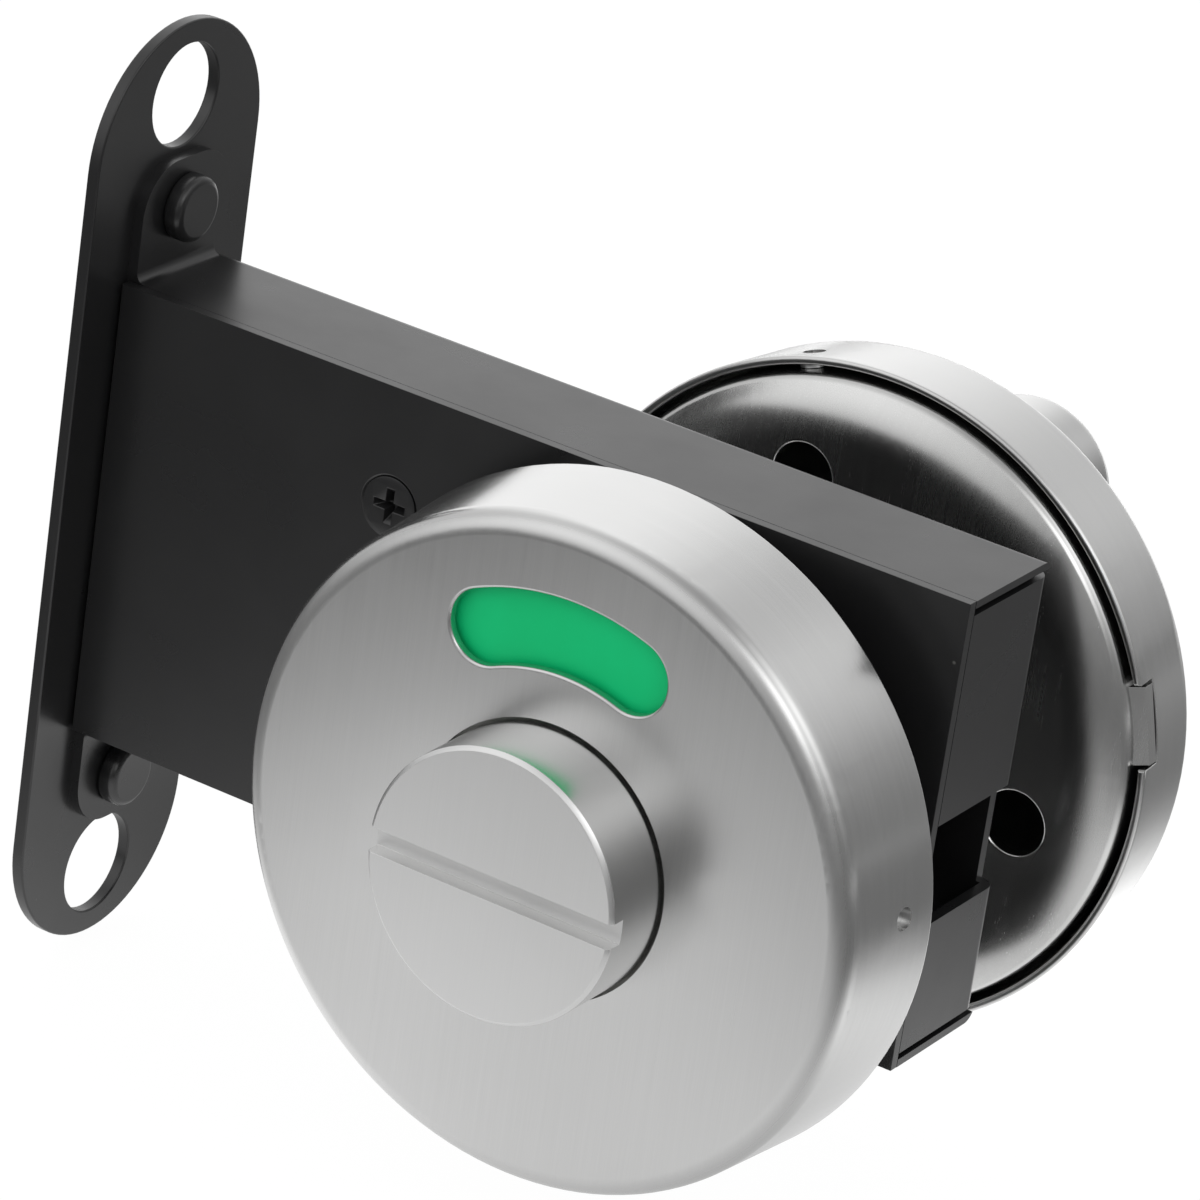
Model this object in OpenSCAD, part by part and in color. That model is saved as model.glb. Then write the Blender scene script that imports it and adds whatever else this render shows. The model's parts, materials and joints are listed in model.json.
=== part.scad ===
// Toilet indicator bolt: a mortice deadbolt case between an outside rose with a coin button and an
// indicator window, and an inside rose with a thumb turn.
// X runs from the outer face of the forend into the door, -Y is the outside and +Z is up.
// The origin lies midway between the two forend screw holes.

/* [Forend] */
// Width of the forend plate
forend_w = 23.2; // [20:0.1:30]
// Thickness of the forend plate
forend_t = 1.2; // [0.8:0.1:3]
// Diameter of the two forend screw holes
forend_hole_d = 9.3; // [4:0.1:11]
// Middle of each screw hole to the end of the forend
forend_hole_end = 6.7; // [6:0.1:12]
// Gap between each screw hole and the ear next to it
forend_hole_gap = 0.65; // [0:0.05:6]
// Diameter of the rivet shanks that hold the case to the forend
rivet_d = 4; // [2.5:0.1:5]
// Diameter of the rivet heads
rivet_head_d = 6; // [5:0.1:8]
// Height of the rivet heads
rivet_head_h = 1.8; // [0.8:0.1:3]
// Chamfer of the rivet heads
rivet_chamfer = 0.4; // [0.1:0.05:0.7]
// Gap between a rivet head and the end of its ear
rivet_inset = 1.4; // [0.2:0.1:2]

/* [Case] */
// Length of the case past the spindle
case_past = 25.8; // [24:0.2:40]
// Height of the case
case_h = 42.2; // [36:0.2:56]
// Thickness of the closed case
case_t = 13.5; // [11:0.1:18]
// Thickness of the sheet steel
sheet = 1; // [0.8:0.1:1.5]
// Outer radius of the folds
fold_r = 1.4; // [1:0.1:2]
// Gap between one folded edge and the next
fold_gap = 0.3; // [0.1:0.05:0.8]
// Height of each ear that is folded out against the forend
ear_reach = 10.2; // [8.4:0.1:14]
// Corner radius of the ears
ear_corner_r = 4.6; // [2:0.1:5]
// Height of the notch between the two end flaps
end_notch_h = 9.4; // [4:0.2:14]
// Middle of that notch, above the spindle
end_notch_up = 1.9; // [0:0.1:6]
// Diameter of the cover screws
cover_screw_d = 3; // [2.5:0.1:4]
// Diameter of the countersunk heads
cover_screw_head_d = 5.6; // [5:0.1:7]
// Diameter of the pillars that take the cover screws
pillar_d = 4.6; // [4.4:0.1:6]
// Length of the cover screws
cover_screw_l = 9; // [6:0.5:10]
// Upper pillar, along the case
upper_pillar_x = 30.8; // [24:0.2:40]
// Gap between the upper pillar and the bolt
pillar_gap = 0.3; // [0.2:0.1:4]
// Lower pillar, past the spindle
lower_pillar_past = 19; // [18:0.2:22]
// Lower pillar, below the middle of the case
lower_pillar_down = 14; // [12:0.2:14]

/* [Bolt] */
// Forend face to spindle
backset = 60; // [50:0.5:80]
// Spindle below the middle of the case
spindle_drop = 5.6; // [5:0.1:7]
// Height of the bolt
bolt_h = 15.8; // [13:0.2:20]
// Gap between the bolt and the case, each side
bolt_side_gap = 0.5; // [0.3:0.1:1.5]
// Gap between the bolt's head and the follower's hub
bolt_head_gap = 10.5; // [9:0.5:14]
// Room round the bolt in the forend
bolt_clear = 0.2; // [0.1:0.05:0.4]
// Chamfer round the nose of the bolt
bolt_chamfer = 0.6; // [0.2:0.1:1.2]
// Diameter of the stump that guides the bolt
stump_d = 5; // [3:0.2:6]
// Wall between the guide slot and the back of the bolt's head
slot_end_wall = 8.6; // [3:0.2:12]
// Wall over the fork at the bolt's tail
fork_wall = 1.4; // [1:0.1:3]
// Thickness of the fork's rear prong
fork_prong = 5.5; // [3:0.1:7]

/* [Turning parts] */
// Side of the square spindle
spindle_sq = 5; // [4:0.1:6]
// Room between spindle and socket, all round
spindle_clear = 0.06; // [0.03:0.01:0.15]
// Turn from open to locked
throw_angle = 90; // [80:1:90]
// Wall of the collars over the spindle's corners
collar_wall = 0.97; // [0.6:0.01:1.6]
// Step between a collar and the detent flats
collar_step = 0.3; // [0.2:0.05:0.6]
// Depth of the detent flats in the hub
flat_depth = 0.6; // [0.3:0.05:0.9]
// Gap between the hub and the bolt's tail
hub_gap = 0.36; // [0.3:0.02:1]
// How far the fork's prongs reach below the nose at each end of the turn
prong_reach = 0.5; // [0.2:0.1:1]
// Running clearance of turning parts, on the radius
run_clear = 0.05; // [0.02:0.01:0.09]
// Radius of the arm's nose
nose_r = 2.6; // [2:0.1:2.7]
// Thickness of the arm's web
web_t = 2.8; // [2:0.1:2.9]
// Width of the arm, across the case
arm_w = 7; // [4:0.5:9]
// Room for the nose in the bolt's fork, each side
fork_clear = 0.5; // [0.45:0.05:0.8]
// Thickness of the detent spring
spring_t = 0.5; // [0.3:0.05:0.8]
// Width of the detent spring
spring_w = 6; // [4:0.5:9]
// Half the span of the detent spring's arch
spring_half_span = 13; // [11:0.5:15]
// Length of the detent spring's feet
spring_foot = 3; // [2:0.2:4]
// Radius of the two stops at the ends of the detent spring
spring_stop_r = 1.2; // [0.8:0.1:1.5]
// Height of those stops above the bottom flange
spring_stop_h = 1; // [0.6:0.1:1.5]

/* [Roses] */
// Radius of the rose shells
rose_r = 30; // [27:0.5:36]
// Depth of the outside shell
outside_depth = 12.1; // [10:0.1:18]
// Depth of the inside shell
inside_depth = 10.3; // [8.5:0.1:15]
// Sheet of the shells
shell_t = 0.8; // [0.6:0.05:1.2]
// Outer radius of the shell's rounded edge
shell_edge_r = 2; // [1:0.1:6]
// How much narrower the shells are at the edge of their face, on the radius
shell_draft = 0.8; // [0:0.1:2]
// Distance between the two base plates, which is the door's thickness
door_gap = 31.3; // [30:0.1:45]
// Gap between the outside base plate and the case
outside_gap = 3.45; // [3.3:0.05:10]
// Turn of the outside rose, anticlockwise from outside
outside_clock = 3; // [-15:0.5:15]
// Turn of the inside rose, anticlockwise from outside
inside_clock = 14; // [-15:0.5:25]
// Gap between the base plates and the shells
base_gap = 0.65; // [0.5:0.05:0.9]
// Sheet of the base plates
base_t = 1.2; // [0.8:0.1:1.6]
// Straight wall of the base plates behind their shoulder
base_wall = 4.2; // [3.4:0.1:4.6]
// Width of the base plates' rounded shoulder
shoulder_w = 5.4; // [2:0.1:5.8]
// Drop of that shoulder from the flat
shoulder_drop = 1.8; // [1:0.1:2]
// Height of the shell's rim over the base plate's flat
rim_lift = 2; // [0.2:0.1:2.4]
// Diameter of the three rose screw holes
rose_hole_d = 5.8; // [3.5:0.1:9]
// Gap between the rose screw holes and the base plate's rounded edge
rose_hole_gap = 0.25; // [0.2:0.05:4]
// Turn of the rose screw holes from their place square to the tab
rose_hole_turn = 3; // [-20:1:20]
// Width of the notch in the shell's rim
rim_notch_w = 7.4; // [4:0.1:10]
// Depth of the notch in the shell's rim
rim_notch_d = 2.5; // [2:0.1:4]
// Room beside the base plate's tab in the notch
tab_clear = 0.25; // [0.2:0.05:1]
// Height of the tab over the shell's rim
tab_lift = 0.1; // [0.1:0.05:0.6]
// How far the tab's end lies inside the shell's outer face
tab_inset = 0.3; // [0:0.05:0.6]
// Slope of the tab away from the door
tab_slope = 20; // [0:1:25]
// Radius of the rim dimples
dimple_r = 1; // [0.6:0.05:1.4]
// Turn of the outside shell's dimples from the level
outside_dimple_turn = 3.5; // [-10:0.5:10]
// Turn of the inside shell's dimples from their place square to the notch
inside_dimple_turn = 3.5; // [-10:0.5:10]
// Height of the outside shell's dimples above its rim
outside_dimple_up = 4.2; // [2.4:0.1:5]
// Height of the inside shell's dimples above its rim
inside_dimple_up = 2.6; // [2.4:0.1:5]

/* [Indicator] */
// Width of the window
window_w = 6.4; // [3:0.1:7.6]
// Gap between the window and the edge of the indicator disc
window_edge = 2.2; // [1:0.1:3]
// Half angle between the middles of the window's round ends
window_half = 21.3; // [10:0.1:25.6]
// Angle that each colour field reaches past the ends of the window
field_past = 9.2; // [6:0.2:9.6]
// Gap between the colour fields and the edge of the indicator disc
field_edge = 0.4; // [0:0.1:0.9]
// Gap between the colour fields and the coin button
field_inner_gap = 2; // [1:0.1:2]
// Thickness of the colour fields
field_t = 0.25; // [0.15:0.05:0.4]
// Gap between the window and the colour field
window_gap = 0.5; // [0.3:0.05:1]
// Gap between the indicator disc and the wall of the shell
disc_gap = 3.4; // [2.5:0.1:4]
// Thickness of the indicator disc
disc_t = 1; // [0.8:0.1:2]

/* [Button and turn] */
// Radius of the coin button
button_r = 11.8; // [10.2:0.1:13.8]
// How far the button stands out of the rose
button_proud = 7.2; // [3:0.1:12]
// Room round the button in the rose
button_clear = 0.3; // [0.2:0.05:0.6]
// Chamfer of the button's edge
button_chamfer = 0.35; // [0.1:0.05:1]
// Width of the coin slot
coin_slot_w = 2.2; // [1.5:0.1:3]
// Depth of the coin slot
coin_slot_d = 1.6; // [1:0.1:3]
// Radius of the shanks that turn in the base plates
shank_r = 6; // [5:0.1:7.2]
// How far the shanks reach past the base plates
shank_end = 2.6; // [2.2:0.1:3]
// How far the spindle stops short of the disc's face, inside the button
spindle_short = 1; // [0.5:0.1:3]
// Room past each end of the spindle
spindle_end_room = 0.3; // [0.1:0.1:1]
// Radius of the thumb turn's round neck
turn_neck_r = 10; // [8.2:0.1:13]
// Height of the thumb turn's neck
turn_neck_h = 3.6; // [2:0.1:6]
// Gap between the thumb turn's neck and the rose
turn_gap = 0.2; // [0.1:0.05:0.5]
// Length of the thumb turn's grip
grip_l = 39.2; // [32:0.2:48]
// Width of the thumb turn's grip
grip_w = 16; // [13:0.2:20]
// Rounding of the grip's edges
grip_edge_r = 2; // [0.5:0.1:4]
// How far the thumb turn stands out of the rose
turn_proud = 21.2; // [17:0.2:28]

/* [Bushes and clips] */
// Wall of the bushes
bush_wall = 1.5; // [1:0.1:2]
// How far the bush flange stands out from the bush
bush_flange_w = 1.95; // [1:0.05:3]
// Thickness of the bush flange
bush_flange_t = 1; // [0.6:0.1:1.5]
// Thickness of the circlips
clip_t = 0.9; // [0.6:0.1:1.2]
// Gap between the eyes of the circlips and the edge of the bushes
clip_inset = 0.2; // [0.1:0.05:0.5]
// Depth of the circlip grooves
groove_d = 0.6; // [0.3:0.05:0.9]
// Base plate to circlip
clip_gap = 0.55; // [0.2:0.05:0.8]
// Half angle of the gap in the circlips
clip_gap_half = 14; // [10:1:30]
// How far the eyes of the circlips stand out
clip_eye_out = 0.3; // [0:0.05:0.4]
// Gap between the indicator disc's sleeve and the bush
sleeve_gap = 0.2; // [0.1:0.05:0.5]

/* [Hidden] */
$fn = 96;
arc_steps = 32;
eps = 0.02;
seat = 0.05;

// Case, inside and outside faces
case_x1 = backset + case_past;
case_l = case_x1 - forend_t;
case_y = case_t / 2;
in_y = case_y - sheet;
case_z = case_h / 2;
in_z = case_z - sheet;
rivet_z = case_z + ear_reach - rivet_head_d / 2 - rivet_inset;
forend_hole_spacing = 2 * (case_z + ear_reach + forend_hole_gap) + forend_hole_d;
forend_h = forend_hole_spacing + 2 * forend_hole_end;
stud_r = cover_screw_d / 2;

// Follower: radii from the spindle's socket outwards
half_throw = throw_angle / 2;
socket_side = spindle_sq + 2 * spindle_clear;
collar_r = socket_side / sqrt(2) + collar_wall;
hub_flat = collar_r + collar_step;
hub_r = hub_flat + flat_depth;
arm_r = (hub_r + hub_gap + prong_reach) / cos(half_throw);

// Bolt: its travel, and the fork that the follower's nose works in
throw = 2 * arm_r * sin(half_throw);
nose_x = backset + throw / 2;
tail_z = hub_r + hub_gap - spindle_drop;
fork_half = nose_r + fork_clear;
fork_top_z = arm_r - spindle_drop + fork_half;
bolt_top_z = max(bolt_h / 2, fork_top_z + fork_wall);
bolt_t = 2 * (in_y - bolt_side_gap);
bolt_head_l = backset - hub_r - bolt_head_gap;
tail_x1 = nose_x + fork_half + fork_prong;
slot_half = stump_d / 2 + bolt_clear;
stump_x = bolt_head_l - slot_end_wall - slot_half - throw;

// Pillars for the cover screws
upper_pillar_z = bolt_top_z + pillar_gap + pillar_d / 2;
pillars = [[upper_pillar_x, upper_pillar_z], [backset + lower_pillar_past, -lower_pillar_down]];

// Roses: heights above the flat of the base plate
outside_y = -case_y - outside_gap;
inside_y = outside_y + door_gap;
outside_face = rim_lift + outside_depth;
inside_face = rim_lift + inside_depth;
field_top = outside_face - shell_t - window_gap;
disc_top = field_top - field_t;
button_top = outside_face + button_proud;
base_r = rose_r - shell_t - base_gap;
base_h = shoulder_drop + base_wall;
flat_r = base_r - shoulder_w;
shoulder_r = (shoulder_w * shoulder_w + shoulder_drop * shoulder_drop) / (2 * shoulder_drop);
// Rim dimples: pressed into the shell's wall until their inner bump reaches the base plate
bump_at = base_r + seat;
bump_l = base_gap - seat + shell_t / 4;
rose_pcd = 2 * (flat_r - rose_hole_gap) - rose_hole_d;
rose_hole_angles = [for (i = [0:2]) 90 + rose_hole_turn + 120 * i];
// Tab of the outside rose, placed so that the screw holes of both base plates lie in line
outside_tab = inside_clock - outside_clock - 120;
bush_r = shank_r + run_clear + bush_wall;
bush_flange_r = bush_r + bush_flange_w;
bush_top = base_t + bush_flange_t;
clip_r = shank_r - groove_d + seat;
clip_w = bush_r - clip_inset - clip_eye_out - clip_r;
spindle_out = disc_top - spindle_short;
spindle_in = inside_face + turn_neck_h;

// Indicator: disc, window and colour fields
disc_r = rose_r - shell_draft - shell_t - disc_gap;
window_r2 = disc_r - window_edge;
window_r1 = window_r2 - window_w;
window_mid_r = (window_r1 + window_r2) / 2;
field_half = window_half + asin(window_w / 2 / window_mid_r) + field_past;

// Detent spring: an arch from the bottom flange to the flat of the follower
spring_top = -spindle_drop - hub_flat - seat;
spring_rise = spring_top + in_z - seat;
spring_r = (pow(spring_half_span, 2) + pow(spring_rise, 2)) / (2 * spring_rise);

// Places children on the outside rose: base plate flat at z = 0, outwards along +z
module on_outside(clock = 0) {
    translate([backset, outside_y, -spindle_drop]) rotate([90, 0, 0]) rotate(clock) children();
}

// Places children on the inside rose, mirrored so that angles read the same from outside
module on_inside(clock = 0) {
    translate([backset, inside_y, -spindle_drop]) mirror([0, 1, 0]) rotate([90, 0, 0])
        rotate(clock) children();
}

// Places children on the spindle at the middle of the case, outwards along +z
module on_spindle() {
    translate([backset, 0, -spindle_drop]) rotate([90, 0, 0]) children();
}

// Flat shapes drawn in Y and Z, with a thickness along X
module along_x(x, length) {
    translate([x, 0, 0]) rotate([90, 0, 90]) linear_extrude(length) children();
}

// Flat shapes drawn in X and Z, with a width across Y
module across_y(width) {
    rotate([90, 0, 0]) linear_extrude(width, center = true) children();
}

// Half section of a can with a rounded top edge, narrower upwards by a slope
module can_section(r, h, edge, slope = 0) {
    top_r = r - slope * (h - edge);
    polygon([[0, 0], [r, 0], [top_r, h - edge], [0, h - edge]]);
    square([top_r - edge, h]);
    translate([top_r - edge, h - edge]) intersection() {
        circle(edge);
        square(edge + 1);
    }
}

// Half section of a bar with both outer edges rounded
module bar_section(r, h, edge) {
    square([r - edge, h]);
    translate([0, edge]) square([r, h - 2 * edge]);
    for (z = [edge, h - edge]) translate([r - edge, z]) circle(edge);
}

// Rectangle with two rounded corners at its top
module tongue(w, h, corner) {
    translate([-w / 2, 0]) square([w, h - corner]);
    translate([-w / 2 + corner, 0]) square([w - 2 * corner, h]);
    for (side = [-1, 1]) {
        translate([side * (w / 2 - corner), h - corner]) circle(corner);
    }
}

// Wedge of a circle about the x axis
module wedge(half, reach) {
    polygon([[0, 0], [reach, -reach * tan(half)], [reach, reach * tan(half)]]);
}

// Part of a ring, from one radius to another
module ring_sector(r1, r2, half) {
    intersection() {
        difference() {
            circle(r2);
            circle(r1);
        }
        wedge(half, 2 * r2);
    }
}

module forend_outline() {
    end_r = forend_w / 2;
    square([forend_w, forend_h - 2 * end_r], center = true);
    for (side = [-1, 1]) {
        translate([0, side * (forend_h / 2 - end_r)]) circle(end_r);
    }
}

module forend_plate() {
    color([0.16, 0.16, 0.17]) along_x(0, forend_t) difference() {
        forend_outline();
        square([bolt_t + 2 * bolt_clear, 2 * (bolt_top_z + bolt_clear)], center = true);
        for (side = [-1, 1]) {
            translate([0, side * forend_hole_spacing / 2]) circle(d = forend_hole_d);
            translate([0, side * rivet_z]) circle(d = rivet_d + 2 * eps);
        }
    }
}

// Folded channel: back plate with its top and bottom flanges
module case_channel() {
    along_x(forend_t, case_l) difference() {
        union() {
            translate([-in_y, -case_z]) square([in_y + case_y - fold_r, case_h]);
            translate([0, -case_z + fold_r]) square([case_y, case_h - 2 * fold_r]);
            for (side = [-1, 1]) {
                translate([case_y - fold_r, side * (case_z - fold_r)]) circle(fold_r);
            }
        }
        translate([-case_y, -in_z]) square([case_y + in_y, 2 * in_z]);
    }
}

// One end flap, folded forward from the back plate between two heights
module end_flap(z0, z1) {
    translate([0, 0, z0]) linear_extrude(z1 - z0) difference() {
        union() {
            translate([case_x1 - sheet, -in_y]) square([sheet, in_y + case_y - fold_r]);
            translate([case_x1 - 2 * fold_r, in_y]) square([fold_r, sheet]);
            translate([case_x1 - fold_r, case_y - fold_r]) circle(fold_r);
        }
        translate([case_x1 - 3 * fold_r, -case_y]) square([3 * fold_r - sheet, case_y + in_y]);
    }
}

// Ears against the forend, one up and one down, with the inner radius of their folds
module case_ear() {
    ear_w = in_y + case_y;
    along_x(forend_t, sheet) translate([sheet / 2, case_z - sheet]) {
        tongue(ear_w, ear_reach + sheet, ear_corner_r);
    }
    translate([0, (sheet - fold_r) / 2, 0]) across_y(ear_w - fold_r) difference() {
        translate([forend_t + sheet - eps, case_z - eps]) square(sheet + eps);
        translate([forend_t + 2 * sheet, case_z + sheet]) circle(sheet);
    }
}

module case_body() {
    notch_mid = end_notch_up - spindle_drop;
    spring_stop_at = spring_half_span + spring_foot + spring_stop_r;
    color([0.13, 0.13, 0.14]) difference() {
        union() {
            difference() {
                case_channel();
                translate([case_x1 - fold_r, -case_y, -in_z - fold_gap]) {
                    cube([2 * fold_r, 2 * case_y, 2 * (in_z + fold_gap)]);
                }
            }
            end_flap(-in_z + fold_gap, notch_mid - end_notch_h / 2);
            end_flap(notch_mid + end_notch_h / 2, in_z - fold_gap);
            case_ear();
            mirror([0, 0, 1]) case_ear();
            for (side = [-1, 1]) {
                translate([backset + side * spring_stop_at, 0, -in_z - sheet / 2]) {
                    cylinder(r = spring_stop_r, h = spring_stop_h + sheet / 2);
                }
            }
        }
        on_spindle() cylinder(r = collar_r + run_clear, h = 3 * case_t, center = true);
        for (side = [-1, 1]) {
            translate([0, 0, side * rivet_z]) rotate([0, 90, 0]) {
                cylinder(d = rivet_d + 2 * eps, h = 4 * fold_r + forend_t);
            }
        }
        for (at = concat(pillars, [[stump_x, 0]])) {
            translate([at[0], 0, at[1]]) rotate([-90, 0, 0]) cylinder(r = stud_r + eps, h = case_t);
        }
    }
}

module case_cover() {
    color([0.10, 0.10, 0.11]) difference() {
        translate([forend_t + fold_gap, -case_y, -case_z]) {
            cube([case_l - fold_gap, sheet - seat, case_h]);
        }
        on_spindle() cylinder(r = collar_r + run_clear, h = 3 * case_t, center = true);
        for (at = pillars) {
            translate([at[0], -case_y - eps, at[1]]) rotate([-90, 0, 0]) {
                cylinder(r1 = cover_screw_head_d / 2 + 3 * eps, r2 = stud_r + 2 * eps,
                    h = sheet + 2 * eps);
            }
        }
    }
}

module cover_screws() {
    color([0.08, 0.08, 0.09]) for (at = pillars) {
        translate([at[0], -case_y, at[1]]) rotate([-90, 0, 0]) {
            cylinder(r1 = cover_screw_head_d / 2, r2 = stud_r, h = sheet);
            cylinder(r = stud_r, h = cover_screw_l);
        }
    }
}

// Pillars riveted into the back plate, drilled for the cover screws
module cover_pillars() {
    color("silver") for (at = pillars) {
        translate([at[0], 0, at[1]]) rotate([-90, 0, 0]) difference() {
            union() {
                cylinder(d = pillar_d, h = 2 * in_y - seat, center = true);
                cylinder(r = stud_r, h = case_y);
            }
            translate([0, 0, -case_y]) cylinder(r = stud_r + eps, h = cover_screw_l + 1);
        }
    }
}

module forend_rivets() {
    color([0.14, 0.14, 0.15]) for (side = [-1, 1]) {
        translate([0, 0, side * rivet_z]) rotate([0, 90, 0]) {
            cylinder(d = rivet_d, h = forend_t + sheet + seat);
            translate([0, 0, forend_t + sheet + seat]) {
                cylinder(d = rivet_head_d, h = rivet_head_h - rivet_chamfer);
                translate([0, 0, rivet_head_h - rivet_chamfer]) {
                    cylinder(d1 = rivet_head_d, d2 = rivet_head_d - 2 * rivet_chamfer, h = rivet_chamfer);
                }
            }
        }
    }
}

module guide_stump() {
    color("silver") translate([stump_x, 0, 0]) rotate([-90, 0, 0]) {
        translate([0, 0, -in_y + 2 * seat]) cylinder(d = stump_d, h = 2 * in_y - 3 * seat);
        cylinder(r = stud_r, h = case_y);
    }
}

// Arched leaf with two feet on the bottom flange
module detent_spring() {
    foot_z = -in_z + seat;
    color([0.55, 0.58, 0.62]) translate([backset, 0, 0]) across_y(spring_w) {
        intersection() {
            translate([0, spring_top - spring_r]) difference() {
                circle(spring_r);
                circle(spring_r - spring_t);
            }
            translate([-spring_half_span, foot_z]) square([2 * spring_half_span, spring_rise + 1]);
        }
        for (side = [-1, 1]) {
            translate([side * (spring_half_span + spring_foot / 2 - 0.5), foot_z + spring_t / 2]) {
                square([spring_foot + 1, spring_t], center = true);
            }
        }
    }
}

// Round bar of a rim dimple, pointing out from the rose's axis
module dimple_bar(r, h) {
    rotate([0, 90, 0]) cylinder(r = r, h = h);
}

// Dished shell with its middle hole, rim notch and rim dimples, at its height over the base plate
module rose_shell(depth, hole_r, notch_angle, dimple_angle, dimple_up) {
    slope = shell_draft / (depth - shell_edge_r);
    inner_r = rose_r - shell_t + slope;
    inner_edge = shell_edge_r - shell_t;
    dimple_angles = [dimple_angle, dimple_angle + 180];
    translate([0, 0, rim_lift]) difference() {
        union() {
            rotate_extrude() difference() {
                can_section(rose_r, depth, shell_edge_r, slope);
                translate([0, -1]) can_section(inner_r, depth - shell_t + 1, inner_edge, slope);
                translate([0, depth - 2 * shell_t]) square([hole_r, 3 * shell_t]);
            }
            for (a = dimple_angles) rotate(a) translate([bump_at, 0, dimple_up]) {
                dimple_bar(dimple_r + shell_t / 2, bump_l);
            }
        }
        for (a = dimple_angles) rotate(a) translate([bump_at + shell_t / 2, 0, dimple_up]) {
            dimple_bar(dimple_r, 2 * shell_t);
        }
        rotate(notch_angle) translate([rose_r - 3 * shell_t, -rim_notch_w / 2, -1]) {
            cube([4 * shell_t, rim_notch_w, rim_notch_d + 1]);
        }
    }
}

// Half section of a base plate above its flat: a broad rounded shoulder and a straight wall
module dish_section(r, h, bottom) {
    intersection() {
        translate([0, bottom]) square([r, h - bottom]);
        union() {
            square([flat_r, h]);
            translate([flat_r, shoulder_r]) circle(shoulder_r - bottom);
        }
    }
}

// Pressed dish against the door, with its tab in the shell's notch and three screw holes
module rose_base_plate(tab_angle) {
    tab_w = rim_notch_w - 2 * tab_clear;
    tab_l = rose_r - tab_inset - base_r + base_t;
    tab_rise = tab_l * tan(tab_slope);
    difference() {
        union() {
            rotate_extrude() difference() {
                dish_section(base_r, base_h, 0);
                dish_section(base_r - base_t, base_h + 1, base_t);
                square([bush_r + eps, 2 * base_t]);
            }
            rotate(tab_angle) translate([base_r - base_t, 0, rim_lift + tab_lift]) {
                across_y(tab_w) {
                    polygon([[0, 0], [tab_l, tab_rise], [tab_l, tab_rise + base_t], [0, base_t]]);
                }
            }
        }
        for (a = rose_hole_angles) rotate(tab_angle + a) {
            translate([rose_pcd / 2, 0, -1]) cylinder(d = rose_hole_d, h = base_t + 2);
        }
    }
}

// Points of an arc about a middle, from one angle to another
function arc(middle, r, from, to) =
    [for (i = [0:arc_steps]) let (a = from + (to - from) * i / arc_steps)
        middle + r * [cos(a), sin(a)]];

// Window about the x axis: part of a ring, with round ends
module window_outline() {
    half = window_half;
    upper_end = window_mid_r * [cos(half), sin(half)];
    lower_end = window_mid_r * [cos(half), -sin(half)];
    polygon(concat(arc([0, 0], window_r2, -half, half),
        arc(upper_end, window_w / 2, half, half + 180),
        arc([0, 0], window_r1, half, -half),
        arc(lower_end, window_w / 2, 180 - half, 360 - half)));
}

module outside_shell() {
    color([0.74, 0.74, 0.74]) on_outside(outside_clock) difference() {
        rose_shell(outside_depth, button_r + button_clear, outside_tab, outside_dimple_turn,
            outside_dimple_up);
        rotate(90) translate([0, 0, field_top]) linear_extrude(shell_t + 2) window_outline();
    }
}

module inside_shell() {
    color([0.74, 0.74, 0.74]) on_inside(inside_clock) {
        rose_shell(inside_depth, shank_r + button_clear, 0, 90 + inside_dimple_turn,
            inside_dimple_up);
    }
}

module outside_base_plate() {
    color([0.68, 0.68, 0.68]) on_outside(outside_clock) rose_base_plate(outside_tab);
}

module inside_base_plate() {
    color([0.68, 0.68, 0.68]) on_inside(inside_clock) rose_base_plate(0);
}

// Flanged bush, seated in a base plate from its outer side
module bush() {
    difference() {
        union() {
            cylinder(r = bush_r, h = bush_top);
            translate([0, 0, base_t + eps]) cylinder(r = bush_flange_r, h = bush_flange_t - eps);
        }
        translate([0, 0, -1]) cylinder(r = shank_r + run_clear, h = bush_top + 2);
    }
}

module outside_bush() {
    color([0.88, 0.87, 0.82]) on_outside() bush();
}

module inside_bush() {
    color([0.88, 0.87, 0.82]) on_inside() bush();
}

// Shank with its circlip groove, from past the base plate up to a height
module grooved_shank(top) {
    difference() {
        translate([0, 0, -shank_end]) cylinder(r = shank_r, h = shank_end + top);
        translate([0, 0, -clip_gap - clip_t - seat]) difference() {
            cylinder(r = shank_r + 1, h = clip_t + 2 * seat);
            translate([0, 0, -1]) cylinder(r = shank_r - groove_d, h = clip_t + 2);
        }
    }
}

// Square socket from below a shank up to the room past the end of the spindle
module spindle_socket(spindle_end) {
    depth = shank_end + spindle_end + spindle_end_room;
    translate([-socket_side / 2, -socket_side / 2, -shank_end - 1]) {
        cube([socket_side, socket_side, depth + 1]);
    }
}

module coin_button() {
    color([0.76, 0.76, 0.76]) on_outside() difference() {
        union() {
            grooved_shank(disc_top + seat + 1);
            translate([0, 0, disc_top + seat]) {
                cylinder(r = button_r, h = button_top - disc_top - seat - button_chamfer);
            }
            translate([0, 0, button_top - button_chamfer]) {
                cylinder(r1 = button_r, r2 = button_r - button_chamfer, h = button_chamfer);
            }
        }
        spindle_socket(spindle_out);
        translate([-2 * button_r, -coin_slot_w / 2, button_top - coin_slot_d]) {
            cube([4 * button_r, coin_slot_w, coin_slot_d + 1]);
        }
    }
}

// Disc with its sleeve, held between the button and the bush
module indicator_disc() {
    sleeve_z = bush_top + sleeve_gap;
    color([0.85, 0.85, 0.83]) on_outside() difference() {
        union() {
            translate([0, 0, disc_top - disc_t]) cylinder(r = disc_r, h = disc_t);
            translate([0, 0, sleeve_z]) cylinder(r = bush_flange_r, h = disc_top - sleeve_z);
        }
        cylinder(r = shank_r + eps, h = disc_top + 1);
    }
}

module colour_field(angle) {
    on_outside(outside_clock + angle) translate([0, 0, disc_top]) linear_extrude(field_t) {
        ring_sector(button_r + field_inner_gap, disc_r - field_edge, field_half);
    }
}

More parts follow.
